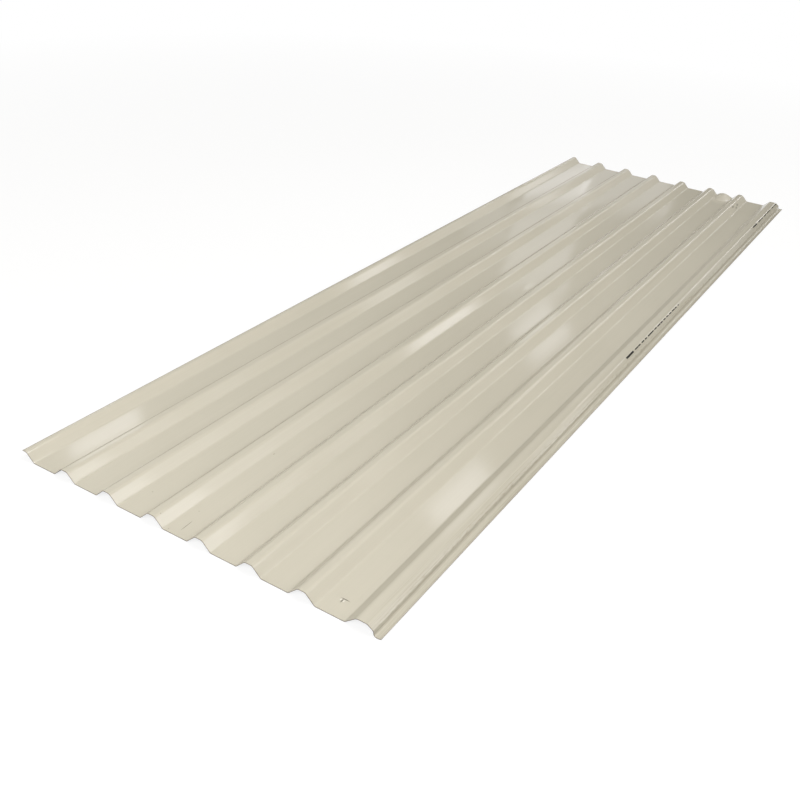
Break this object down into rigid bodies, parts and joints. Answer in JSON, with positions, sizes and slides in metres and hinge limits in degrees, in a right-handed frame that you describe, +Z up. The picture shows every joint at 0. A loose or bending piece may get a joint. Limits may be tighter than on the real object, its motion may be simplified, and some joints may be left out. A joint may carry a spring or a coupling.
{
  "type": "corrugated metal sheet",
  "caption": "Roll-formed, pre-painted steel cladding sheet with trapezoid ribs along its length, an underlap half rib on one edge and an overlap rib with a lip on the other.",
  "frame": {"origin": "on the floor under the middle of the sheet", "axes": "+Y along the ribs, +X across the sheet towards the overlap edge, +Z up out of the painted face"},
  "size_m": [0.7546, 2.44, 0.0176],
  "materials": {
    "coil_coat": "semi-gloss baked sand-coloured coil coat on zinc-coated steel, bare at the cut ends"
  },
  "bodies": {
    "root": {"corrugated_sheet": "coil_coat"}
  },
  "joints": []
}
